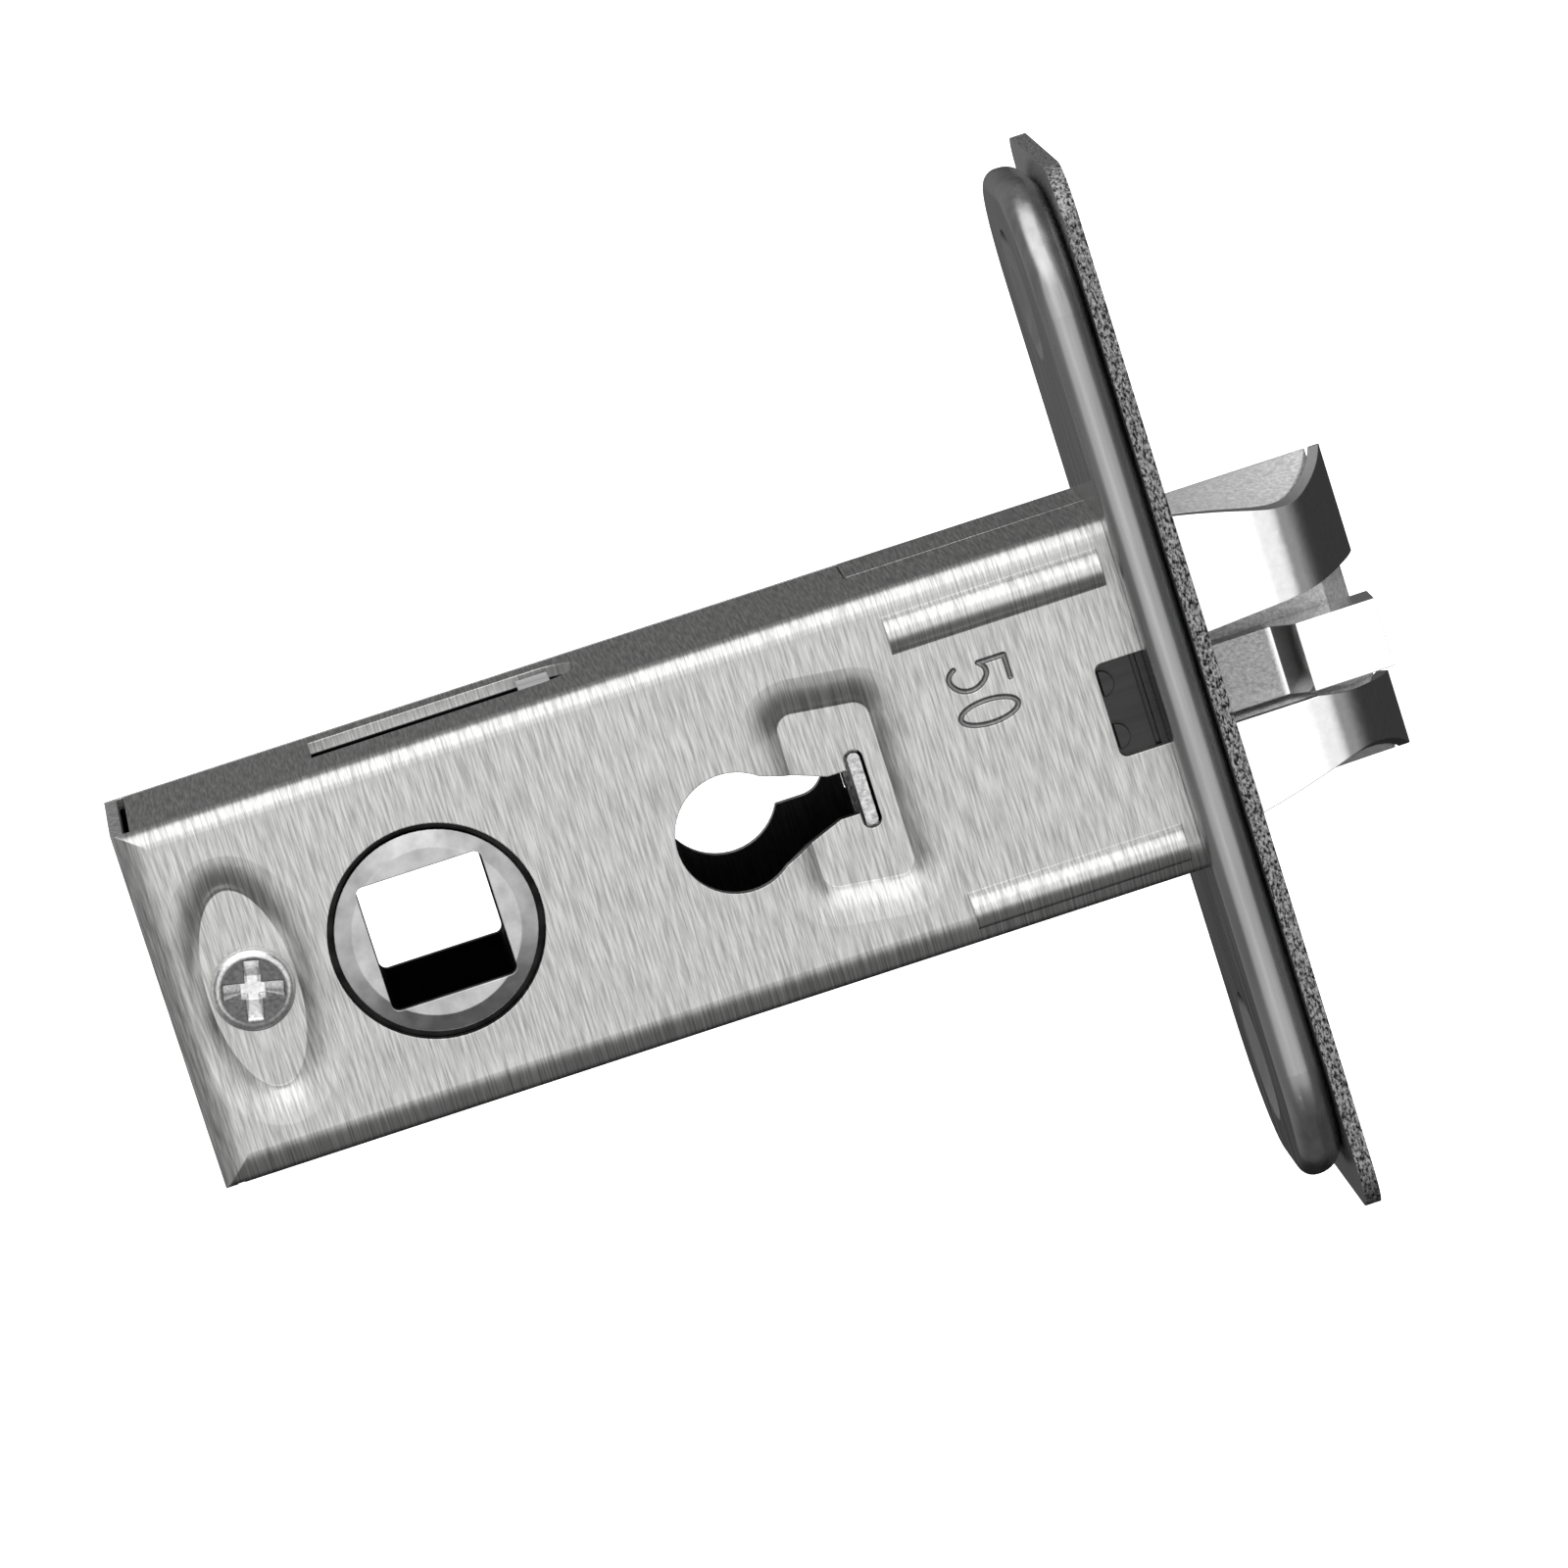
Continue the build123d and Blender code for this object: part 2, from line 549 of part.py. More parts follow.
def bolt_core():
    near = CAP_THICK - BOLT_Y
    core_tip = BOLT_OUT - CAP_THICK - CAP_GAP
    core_bend = BEVEL_START - CAP_GAP
    far_side = [(core_tip, BOLT_Y), (0, BOLT_Y)]
    near_side = [(0, -BOLT_Y), (CAP_START, -BOLT_Y), (CAP_START, near), (core_bend, near)]
    outline = Polyline(*far_side, *near_side)
    head = plan([*outline.edges(), bevel(core_bend, near, core_tip)], -BOLT_HALF, BOLT_HALF)
    core = trim_head(head, CHANNEL_FLOOR)
    core += block(BODY_REAR, 0, -BOLT_Y, BOLT_Y, -BOLT_HALF, BOLT_HALF)
    core += block(TAIL_REAR, BODY_REAR, -BOLT_Y, BOLT_Y, NOTCH_BOTTOM - TAIL_WALL, CHANNEL_TOP + TAIL_WALL)
    # channel for the middle tongue's heel, roofed at the rear
    wall = TONGUE_NECK - BOLT_Y - MOVE_CLEAR
    channel_rear = TAIL_REAR + TAIL_END
    core -= block(channel_rear, 0, wall, CHANNEL_BACK, NOTCH_BOTTOM, CHANNEL_TOP)
    roof = NECK_END - TONGUE_TRAVEL - MOVE_CLEAR
    core -= block(roof, 0, -2 * BOLT_Y, CHANNEL_FLOOR, NOTCH_BOTTOM, CHANNEL_TOP)
    for z in coil_spots():
        core -= rod_x(COIL_POCKET_R, BODY_REAR - SHEET, -COIL_POCKET_END, 0, z)
    for sign in (1, -1):
        z0, z1 = sorted((sign * (BOLT_HALF - STRAP_RIVET_DEPTH), sign * (BOLT_HALF + SHEET)))
        core -= rod_z(STRAP_RIVET_R, STRAP_RIVET_X, STRAP_RIVET_Y, z0, z1)
    return core


def bolt_cap(sign):
    # A thin polished cover over one tongue's near face and bevel.
    near = CAP_THICK - BOLT_Y
    inner_tip = BOLT_OUT - CAP_THICK
    outline = Polyline((inner_tip, BOLT_Y), (BOLT_OUT, BOLT_Y))
    inner_bend = BEVEL_START - CAP_GAP
    back = Polyline((BEVEL_START, -BOLT_Y), (CAP_START, -BOLT_Y), (CAP_START, near), (inner_bend, near))
    outer = bevel(BEVEL_START, -BOLT_Y, BOLT_OUT)
    inner = bevel(inner_bend, near, inner_tip)
    cap = plan([*outline.edges(), outer, *back.edges(), inner], -BOLT_HALF, BOLT_HALF)
    z0, z1 = sorted((sign * BOLT_HALF, 0))
    return trim_head(cap, 2 * BOLT_Y) & block(0, BOLT_OUT, -BOLT_Y, BOLT_Y, z0, z1)


def strap(sign):
    # A flat strap from the bolt along the case, with a hook bent down behind the hub's horn.
    z0, z1 = sorted((sign * BOLT_HALF, sign * STRAP_TOP))
    strip = block(SLOT_REAR - STRAP_PAST_SLOT, SEAT_X - MOVE_CLEAR, STRAP_FRONT, STRAP_BACK, z0, z1)
    h0, h1 = sorted((sign * HOOK_BOTTOM, sign * BOLT_HALF))
    strip += block(HOOK_X - STRAP, HOOK_X, STRAP_FRONT, STRAP_BACK, h0, h1)
    strip -= rod_z(STRAP_RIVET_R, STRAP_RIVET_X, STRAP_RIVET_Y, z0 - SHEET, z1 + SHEET)
    if sign > 0:
        # the guide nub that runs in the slot, and the hole ahead of it
        x1 = SLOT_END - GUIDE_FROM_END
        y0 = SLOT_Y - SLOT_WIDTH / 2 + MOVE_CLEAR
        y1 = SLOT_Y + SLOT_WIDTH / 2 - MOVE_CLEAR - SHEET
        strip -= rod_z(STRAP_HOLE_R, SLOT_END - STRAP_HOLE_FROM_END, SLOT_Y, z0 - SHEET, z1 + SHEET)
        strip += block(x1 - STRAP_GUIDE_LENGTH, x1, y0, y1, STRAP_TOP, TOP_Z - SIDE_CLEAR)
    return strip


def strap_rivet(sign):
    z0, z1 = sorted((sign * (BOLT_HALF - STRAP_RIVET_DEPTH), sign * STRAP_TOP))
    return rod_z(STRAP_RIVET_R, STRAP_RIVET_X, STRAP_RIVET_Y, z0, z1)


def middle_tongue():
    # A straight tongue with a thinner neck, and a thick heel that keeps it in the bolt.
    near = -BOLT_Y
    neck = near + TONGUE_NECK
    heel = -MOVE_CLEAR
    near_side = [(TONGUE_REAR, neck), (NECK_END, neck), (NECK_END + RAMP_LENGTH, near), (TONGUE_OUT, near)]
    far_side = [(TONGUE_OUT, TONGUE_BACK), (heel, TONGUE_BACK), (heel, HEEL_BACK), (TONGUE_REAR, HEEL_BACK)]
    outline = Polyline(*near_side, *far_side, close=True)
    return plan(outline.edges(), TONGUE_BOTTOM, TONGUE_TOP)


def coil(x0, x1, radius, wire, turns, y, z):
    # A wound wire whose ends bear on the faces at x0 and x1.
    rise = x1 - x0 - 2 * wire
    path = Helix(pitch=rise / turns, height=rise, radius=radius)
    section = Plane(origin=path @ 0, z_dir=path % 0) * Circle(wire)
    wound = sweep(section, path=path, is_frenet=True)
    return Pos(x0 + wire, y, z) * Rot(0, 90, 0) * wound


def bolt_spring(z):
    return coil(SEAT_FACE_X, -COIL_POCKET_END, BOLT_COIL_R, BOLT_WIRE_R, BOLT_TURNS, 0, z)


def tongue_spring():
    middle = (TONGUE_NECK - BOLT_Y + HEEL_BACK) / 2
    x0 = TAIL_REAR + TAIL_END
    return coil(x0, TONGUE_REAR, TONGUE_COIL_R, TONGUE_WIRE_R, TONGUE_TURNS, middle, TONGUE_MID)


PIECES = {
    "front_shell": front_shell(),
    "back_shell": back_shell(),
    "forend_tray": forend_tray(),
    "forend_plate": forend_plate(),
    "front_tie": tie(-1),
    "back_tie": tie(1),
    "spring_plate": spring_plate(),
    "rear_post": rear_post(),
    "rear_screw": rear_screw(),
    "hub": hub(),
    "bolt_core": bolt_core(),
    "upper_cap": bolt_cap(1),
    "lower_cap": bolt_cap(-1),
    "upper_strap": strap(1),
    "lower_strap": strap(-1),
    "upper_rivet": strap_rivet(1),
    "lower_rivet": strap_rivet(-1),
    "middle_tongue": middle_tongue(),
    "upper_spring": bolt_spring(UPPER_COIL_Z),
    "lower_spring": bolt_spring(LOWER_COIL_Z),
    "tongue_spring": tongue_spring(),
}

os.makedirs("parts", exist_ok=True)
for name, piece in PIECES.items():
    export_step(piece, f"parts/{name}.step")
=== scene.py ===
"""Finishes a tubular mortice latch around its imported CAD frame: metals, wound springs and a studio."""

import math

import bpy
from bpy.props import FloatProperty, FloatVectorProperty, IntProperty, PointerProperty, StringProperty
from mathutils import Matrix, Vector


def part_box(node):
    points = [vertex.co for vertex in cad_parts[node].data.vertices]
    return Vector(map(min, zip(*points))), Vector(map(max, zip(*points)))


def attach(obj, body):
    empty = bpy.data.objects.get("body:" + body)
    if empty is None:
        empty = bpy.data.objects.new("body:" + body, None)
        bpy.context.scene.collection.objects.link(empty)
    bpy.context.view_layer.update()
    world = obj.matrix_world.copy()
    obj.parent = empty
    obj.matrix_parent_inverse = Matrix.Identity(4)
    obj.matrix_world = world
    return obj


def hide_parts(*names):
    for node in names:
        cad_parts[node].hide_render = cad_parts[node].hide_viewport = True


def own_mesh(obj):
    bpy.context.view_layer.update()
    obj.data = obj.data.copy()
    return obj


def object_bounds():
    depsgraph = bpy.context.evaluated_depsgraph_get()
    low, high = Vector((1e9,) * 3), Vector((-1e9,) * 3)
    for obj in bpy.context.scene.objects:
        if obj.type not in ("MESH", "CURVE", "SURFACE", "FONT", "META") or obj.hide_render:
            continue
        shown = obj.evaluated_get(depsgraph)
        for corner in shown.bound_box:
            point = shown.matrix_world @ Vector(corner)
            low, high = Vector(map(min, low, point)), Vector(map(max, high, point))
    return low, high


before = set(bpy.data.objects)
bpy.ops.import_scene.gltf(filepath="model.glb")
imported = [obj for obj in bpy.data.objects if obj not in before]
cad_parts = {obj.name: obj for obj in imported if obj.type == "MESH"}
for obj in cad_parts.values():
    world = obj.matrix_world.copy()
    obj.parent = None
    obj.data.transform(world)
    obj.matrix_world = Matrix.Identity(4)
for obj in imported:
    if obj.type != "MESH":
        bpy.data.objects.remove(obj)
CAD_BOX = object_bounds()

bl_info = {
    "name": "Mortice Latch Looks",
    "version": (1, 0, 0),
    "blender": (4, 5, 0),
    "location": "View3D > Sidebar > Latch",
    "description": "Gives a tubular mortice latch its metal finishes, springs and studio",
    "category": "Object",
}

MM = 0.001
# How far brushing draws a reflection out, from none at nought to a line at one
BRUSH_STRETCH = 0.6
# Depth of the bright turned faces of the hub; between them the hub is painted dark, a painted shade
HUB_FACE = 0.55 * MM
# Where the middle tongue's dull neck ends and its polished head begins
NECK_END = 4.1 * MM
# Corners round a spring's wire, and steps in each of its turns
WIRE_SIDES = 12
TURN_STEPS = 28
# Width of the camera's sensor in mm, and of the floor in metres
SENSOR_WIDTH = 36
FLOOR_WIDTH = 20


def linear(hex_colour):
    """An sRGB hex value as the linear colour that the shaders take."""
    parts = [int(hex_colour[i:i + 2], 16) / 255 for i in (0, 2, 4)]
    return [p / 12.92 if p <= 0.04045 else ((p + 0.055) / 1.055) ** 2.4 for p in parts] + [1.0]


def add(tree, kind, links=(), values=(), **settings):
    """One shader node with its settings, its fixed inputs and the outputs that feed it."""
    node = tree.nodes.new("ShaderNode" + kind)
    for key, value in settings.items():
        setattr(node, key, value)
    for key, value in dict(values).items():
        node.inputs[key].default_value = value
    for key, (source, output) in dict(links).items():
        tree.links.new(source.outputs[output], node.inputs[key])
    return node


class FinishSettings(bpy.types.PropertyGroup):
    """Colours and surface sizes of the metals."""
    case_light: StringProperty(name="Case light", description="Bright lines of the brushed case, sRGB hex",
                               default="E4E4E3")
    case_dark: StringProperty(name="Case dark", description="Dull lines of the brushed case, sRGB hex",
                              default="A4A4A3")
    brush_width: FloatProperty(name="Brush width", description="Width of one brush line", default=0.15 * MM,
                               unit="LENGTH", precision=5)
    brush_length: FloatProperty(name="Brush length", description="Length of one brush line",
                                default=2.6 * MM, unit="LENGTH", precision=5)
    brush_depth: FloatProperty(name="Brush depth", description="Depth of one brush line", default=0.006 * MM,
                               unit="LENGTH", precision=6)
    sheet: FloatProperty(name="Case sheet", description="Thickness of the case's sheet", default=0.8 * MM,
                         unit="LENGTH", precision=5)
    casting_grain: FloatProperty(name="Casting grain", description="Size of the grain on the zinc castings",
                                 default=0.28 * MM, unit="LENGTH", precision=5)
    torn_grain: FloatProperty(name="Torn grain", description="Size of the grain on the plate's punched edge",
                              default=0.16 * MM, unit="LENGTH", precision=5)
    edge_radius: FloatProperty(name="Edge radius", description="Rounding seen on cut edges",
                               default=0.1 * MM, unit="LENGTH", precision=5)
    # the sunk figures inside this box are painted darker: painted shade
    mark_low: FloatVectorProperty(name="Mark low", description="Lower corner of the sunk figures",
                                  subtype="TRANSLATION", default=(-15.9 * MM, -7.47 * MM, 1.3 * MM))
    mark_high: FloatVectorProperty(name="Mark high", description="Upper corner of the sunk figures",
                                   subtype="TRANSLATION", default=(-11.7 * MM, -7.2 * MM, 5.7 * MM))
    # inside this box the case is painted near-black: painted shade inside the case
    inside_shade_low: FloatVectorProperty(name="Hollow low", description="Lower corner of the oiled inside",
                                    subtype="TRANSLATION", default=(-66.4 * MM, -6.35 * MM, -10.8 * MM))
    inside_shade_high: FloatVectorProperty(name="Hollow high", description="Upper corner of the oiled inside",
                                     subtype="TRANSLATION", default=(-3 * MM, 6.75 * MM, 10.8 * MM))


class SpringSettings(bpy.types.PropertyGroup):
    """Wire of the springs."""
    bolt_wire: FloatProperty(name="Bolt wire", description="Radius of the bolt springs' wire",
                             default=0.25 * MM, unit="LENGTH", precision=5)
    bolt_turns: IntProperty(name="Bolt turns", description="Turns of each bolt spring", default=11, min=2)
    tongue_wire: FloatProperty(name="Tongue wire", description="Radius of the tongue spring's wire",
                               default=0.2 * MM, unit="LENGTH", precision=5)
    tongue_turns: IntProperty(name="Tongue turns", description="Turns of the tongue spring",
                              default=5, min=2)


class StageSettings(bpy.types.PropertyGroup):
    """Camera and floor."""
    camera_place: FloatVectorProperty(name="Camera", description="Where the camera stands",
                                      subtype="TRANSLATION", default=(-51.29 * MM, -634.49 * MM, 117.39 * MM))
    camera_target: FloatVectorProperty(name="Target", description="What the camera points at",
                                       subtype="TRANSLATION", default=(-30 * MM, 0, 0))
    camera_roll: FloatProperty(name="Roll", description="Turn of the picture", subtype="ANGLE",
                               default=math.radians(-17.72))
    focal_length: FloatProperty(name="Lens", description="Focal length on a 36 mm sensor, in mm",
                                default=240.58)
    shift: FloatVectorProperty(name="Shift", description="Lens shift", size=2, default=(0.0292, 0.0161))
    floor_drop: FloatProperty(name="Floor drop", description="Room between the latch and the floor",
                              default=60 * MM, unit="LENGTH")


def finish():
    return bpy.context.scene.latch_finish


def new_tree(name):
    material = bpy.data.materials.new(name)
    material.use_nodes = True
    material.node_tree.nodes.clear()
    return material, material.node_tree


def metal(tree, base, roughness, normal):
    """The metal's shader and the output, fed by patterns for its colour, roughness and normals."""
    shader = add(tree, "BsdfPrincipled", {"Base Color": base, "Roughness": roughness, "Normal": normal},
                 {"Metallic": 1.0})
    add(tree, "OutputMaterial", {"Surface": (shader, "BSDF")})
    return shader


def spread(tree, fac, low, high, start=0.25, end=0.75):
    """A pattern, or a distance, turned into a range of values."""
    return add(tree, "MapRange", {"Value": fac},
               {"From Min": start, "From Max": end, "To Min": low, "To Max": high}), "Result"


def between(tree, value, low, high, soft):
    """One where a value lies between two limits, with soft borders."""
    rise = spread(tree, value, 0.0, 1.0, low - soft, low + soft)
    fall = spread(tree, value, 1.0, 0.0, high - soft, high + soft)
    return add(tree, "Math", {0: rise, 1: fall}, operation="MULTIPLY"), "Value"


def within(tree, axes, low, high, soft):
    """One inside a box, with soft borders."""
    masks = [between(tree, (axes, axis), low[i], high[i], soft) for i, axis in enumerate("XYZ")]
    flat = add(tree, "Math", {0: masks[0], 1: masks[2]}, operation="MULTIPLY")
    return add(tree, "Math", {0: (flat, "Value"), 1: masks[1]}, operation="MULTIPLY"), "Value"


def soft_edges(tree):
    """Normals that round each cut edge a little, as tumbling does."""
    return add(tree, "Bevel", values={"Radius": finish().edge_radius}, samples=6), "Normal"


def position(tree):
    """The piece's own X, Y and Z."""
    return add(tree, "SeparateXYZ", {"Vector": (add(tree, "TexCoord"), "Object")})


def grain(tree, size, detail=2.0, roughness=0.5):
    """Noise whose grain has the given sizes along X, Y and Z, in metres."""
    place = add(tree, "TexCoord"), "Object"
    scaled = add(tree, "Mapping", {"Vector": place}, {"Scale": [1 / s for s in size]})
    return add(tree, "TexNoise", {"Vector": (scaled, "Vector")},
               {"Scale": 1.0, "Detail": detail, "Roughness": roughness}), "Fac"


def brush_lines(tree, width, length):
    """Lines that run up the marked face and carry on over its folds."""
    axes = position(tree)
    along = add(tree, "Math", {0: (axes, "Y"), 1: (axes, "Z")}, operation="ADD")
    flat = add(tree, "CombineXYZ", {"X": (axes, "X"), "Y": (along, "Value")})
    scaled = add(tree, "Mapping", {"Vector": (flat, "Vector")}, {"Scale": (1 / width, 1 / length, 1)})
    return add(tree, "TexNoise", {"Vector": (scaled, "Vector")},
               {"Scale": 1.0, "Detail": 3.0, "Roughness": 0.6}, noise_dimensions="2D"), "Fac"


def tone(tree, fac, dark, light, low=0.3, high=0.7):
    """Two tones of one metal, mixed by a pattern."""
    ramp = add(tree, "ValToRGB", {"Fac": fac})
    ramp.color_ramp.elements[0].position = low
    ramp.color_ramp.elements[0].color = linear(dark)
    ramp.color_ramp.elements[1].position = high
    ramp.color_ramp.elements[1].color = linear(light)
    return ramp, "Color"


def either(tree, mask, first, second):
    """The first colour where the mask is nought, the second where it is one."""
    mix = add(tree, "Mix", data_type="RGBA")
    for socket, (source, output) in ((mix.inputs[0], mask), (mix.inputs[6], first), (mix.inputs[7], second)):
        tree.links.new(source.outputs[output], socket)
    return mix, 2


def relief(tree, height, depth, normal):
    """A pattern turned into relief of the given depth."""
    bump = add(tree, "Bump", {"Height": height, "Normal": normal}, {"Strength": 1.0, "Distance": depth})
    return bump, "Normal"


def brushed_stainless():
    # Stainless sheet, brushed up and down the case: fine bright and dull lines, and highlights drawn out
    # sideways. The lines are a little coarser than real ones, so that they show at this distance. Sheared
    # edges that face up are painted paler: torn grain, with a painted highlight.
    material, tree = new_tree("brushed_stainless")
    lines = brush_lines(tree, finish().brush_width, finish().brush_length)
    low, high = CAD_BOX[0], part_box("back_shell")[1]
    sheet = finish().sheet
    axes = position(tree)
    up = add(tree, "SeparateXYZ", {"Vector": (add(tree, "TexCoord"), "Normal")})
    # only the sheared edges that face up get the paler torn tone: a painted highlight on real torn grain
    cover = spread(tree, (axes, "Y"), 0.0, 1.0, high.y - 1.05 * sheet, high.y - 0.95 * sheet)
    flange = spread(tree, (axes, "X"), 1.0, 0.0, low[0] + 0.95 * sheet, low[0] + 1.05 * sheet)
    either_edge = add(tree, "Math", {0: cover, 1: flange}, operation="MAXIMUM")
    facing = spread(tree, (up, "Z"), 0.0, 1.0, 0.4, 0.6)
    sheared_edge_highlight = add(tree, "Math", {0: (either_edge, "Value"), 1: facing}, operation="MULTIPLY")
    brushed = tone(tree, lines, finish().case_dark, finish().case_light)
    torn = tone(tree, grain(tree, (0.3 * MM, 0.3 * MM, 0.3 * MM), 3.0), "B8B8B8", "FAFAFA")
    # painted shade: the stamped figures and the inside of the case are painted darker, where shade falls in
    # them
    sunk = within(tree, axes, finish().mark_low, finish().mark_high, 0.015 * MM)
    painted_figure_shade = tone(tree, lines, "747474", "8E8E8E")
    # the inside of the case is painted near-black: painted shade where light does not reach
    inside_shade = within(tree, axes, finish().inside_shade_low, finish().inside_shade_high, 0.02 * MM)
    outer = either(tree, sunk, either(tree, (sheared_edge_highlight, "Value"), brushed, torn), painted_figure_shade)
    colour = either(tree, inside_shade, outer, tone(tree, lines, "2A2A2A", "383838"))
    normal = relief(tree, lines, finish().brush_depth, soft_edges(tree))
    dull = spread(tree, (sheared_edge_highlight, "Value"), 0.0, 0.62, 0.0, 1.0)
    rough = add(tree, "Math", {0: spread(tree, lines, 0.36, 0.44), 1: dull}, operation="MAXIMUM")
    shader = metal(tree, colour, (rough, "Value"), normal)
    # brushing spreads reflections across the lines, which run up the face
    shader.inputs["Anisotropic"].default_value = BRUSH_STRETCH
    across = add(tree, "CombineXYZ", values={"X": 1.0, "Y": -0.2})
    tree.links.new(across.outputs["Vector"], shader.inputs["Tangent"])
    return material


def satin_stainless():
    # Deep-drawn stainless sheet: smooth satin with faint draw marks along the pan.
    material, tree = new_tree("satin_stainless")
    marks = grain(tree, (0.6 * MM, 0.6 * MM, 9 * MM))
    normal = relief(tree, marks, 0.003 * MM, soft_edges(tree))
    metal(tree, tone(tree, marks, "9C9C9C", "AEAEAE"), spread(tree, marks, 0.22, 0.3), normal)
    return material


def sheared_stainless():
    # Punched stainless plate: satin faces, and a torn speckled edge where the punch broke through.
    material, tree = new_tree("sheared_stainless")
    facing = add(tree, "SeparateXYZ", {"Vector": (add(tree, "TexCoord"), "Normal")})
    square = add(tree, "Math", {0: (facing, "X")}, operation="ABSOLUTE")
    edge = spread(tree, (square, "Value"), 0.0, 1.0, 0.8, 0.5)
    size = finish().torn_grain
    torn = grain(tree, (size, size, 2 * size), 4.0, 0.7)
    marks = grain(tree, (0.3 * MM, 0.3 * MM, 5 * MM))
    speckle = tone(tree, torn, "262626", "C2C2C2", 0.42, 0.6)
    colour = either(tree, edge, tone(tree, marks, "C4C4C4", "D8D8D8"), speckle)
    depth = add(tree, "Math", {0: torn, 1: edge}, operation="MULTIPLY")
    normal = relief(tree, (depth, "Value"), 0.09 * MM, soft_edges(tree))
    metal(tree, colour, spread(tree, edge, 0.26, 0.5, 0.0, 1.0), normal)
    return material


def turned_zinc():
    # Zinc hub, turned bright on its two faces; its sides and the square hole are painted near-black, a
    # painted shade.
    material, tree = new_tree("turned_zinc")
    low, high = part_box("hub")
    # between its two faces the hub is painted dark: painted shade on its sides and in the square hole
    inside = between(tree, (position(tree), "Y"), low.y + HUB_FACE, high.y - HUB_FACE, 0.03 * MM)
    cloud = grain(tree, (1.2 * MM, 1.2 * MM, 1.2 * MM), 3.0)
    painted_shade = tone(tree, cloud, "141414", "262626")
    colour = either(tree, inside, tone(tree, cloud, "A0A0A0", "BEBEBE"), painted_shade)
    normal = relief(tree, cloud, 0.006 * MM, soft_edges(tree))
    shader = metal(tree, colour, spread(tree, cloud, 0.17, 0.24), normal)
    # the painted shade also darkens the sides' reflections seen at a glancing angle
    tree.links.new(colour[0].outputs[colour[1]], shader.inputs["Specular Tint"])
    return material


def cast_zinc(name, dark, light, low, high, depth):
    # Die-cast zinc alloy, tumbled: a soft grey with fine grain and small bright and dull patches.
    material, tree = new_tree(name)
    size = finish().casting_grain
    grains = grain(tree, (size, size, size), 4.0, 0.65)
    normal = relief(tree, grains, depth, soft_edges(tree))
    metal(tree, tone(tree, grains, dark, light), spread(tree, grains, low, high), normal)
    return material


def tongue_zinc():
    # Die-cast zinc, polished on the striking head and left dull on the thinner neck behind it.
    material, tree = new_tree("tongue_zinc")
    size = finish().casting_grain
    grains = grain(tree, (size, size, size), 4.0, 0.65)
    head = spread(tree, (position(tree), "X"), 0.0, 1.0, NECK_END, NECK_END + 0.3 * MM)
    polished = tone(tree, grains, "F4F4F4", "FAFAFA")
    colour = either(tree, head, tone(tree, grains, "8C8C8C", "B4B4B4"), polished)
    dull = add(tree, "Math", {1: head}, {0: 1.0}, operation="SUBTRACT")
    depth = add(tree, "Math", {0: grains, 1: (dull, "Value")}, operation="MULTIPLY")
    normal = relief(tree, (depth, "Value"), 0.04 * MM, soft_edges(tree))
    metal(tree, colour, spread(tree, head, 0.36, 0.12, 0.0, 1.0), normal)
    return material


def polished_stainless():
    # Polished stainless cover: nearly a mirror, with a faint haze.
    material, tree = new_tree("polished_stainless")
    haze = grain(tree, (0.5 * MM, 0.5 * MM, 0.5 * MM), 3.0)
    normal = relief(tree, haze, 0.002 * MM, soft_edges(tree))
    metal(tree, tone(tree, haze, "EEEEEE", "F8F8F8"), spread(tree, haze, 0.1, 0.15), normal)
    return material


def plated_steel():
    # Steel with bright zinc plating: pale, a little cloudy, glinting on its edges.
    material, tree = new_tree("plated_steel")
    cloud = grain(tree, (0.4 * MM, 0.4 * MM, 0.4 * MM), 3.0)
    normal = relief(tree, cloud, 0.008 * MM, soft_edges(tree))
    metal(tree, tone(tree, cloud, "B0B0B0", "DCDCDC"), spread(tree, cloud, 0.16, 0.28), normal)
    return material


def screw_steel_painted_dark_face():
    # Plated steel screw: the flat of the head is painted dark, a painted dark reflection; its rim and the
    # driven cross keep the plating's bright tone.
    material, tree = new_tree("screw_steel_painted_dark_face")
    low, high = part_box("rear_screw")
    middle = Vector(((low.x + high.x) / 2, 0, (low.z + high.z) / 2))
    reach = (high.x - low.x) / 2
    place = add(tree, "TexCoord"), "Object"
    flat = add(tree, "VectorMath", {0: place}, {1: (1, 0, 1)}, operation="MULTIPLY")
    out = add(tree, "VectorMath", {0: (flat, "Vector")}, {1: middle}, operation="DISTANCE")
    inside = spread(tree, (out, "Value"), 1.0, 0.0, 0.78 * reach, 0.84 * reach)
    outer = spread(tree, (position(tree), "Y"), 1.0, 0.0, low.y + 0.02 * MM, low.y + 0.1 * MM)
    # the flat of the head gets a dark tone: a painted dark reflection
    face = add(tree, "Math", {0: inside, 1: outer}, operation="MULTIPLY")
    cloud = grain(tree, (0.25 * MM, 0.25 * MM, 0.25 * MM), 3.0)
    bright = tone(tree, cloud, "C8C8C8", "ECECEC")
    colour = either(tree, (face, "Value"), bright, tone(tree, cloud, "505050", "707070"))
    normal = relief(tree, cloud, 0.008 * MM, soft_edges(tree))
    metal(tree, colour, spread(tree, cloud, 0.16, 0.26), normal)
    return material


def dull_sheet(name, dark, light, roughness):
    # Mild steel sheet inside the case: dull grey with faint rolling marks along the case.
    material, tree = new_tree(name)
    rolled = grain(tree, (6 * MM, 0.5 * MM, 0.5 * MM), 3.0)
    normal = relief(tree, rolled, 0.002 * MM, soft_edges(tree))
    metal(tree, tone(tree, rolled, dark, light), spread(tree, rolled, roughness, roughness + 0.08), normal)
    return material


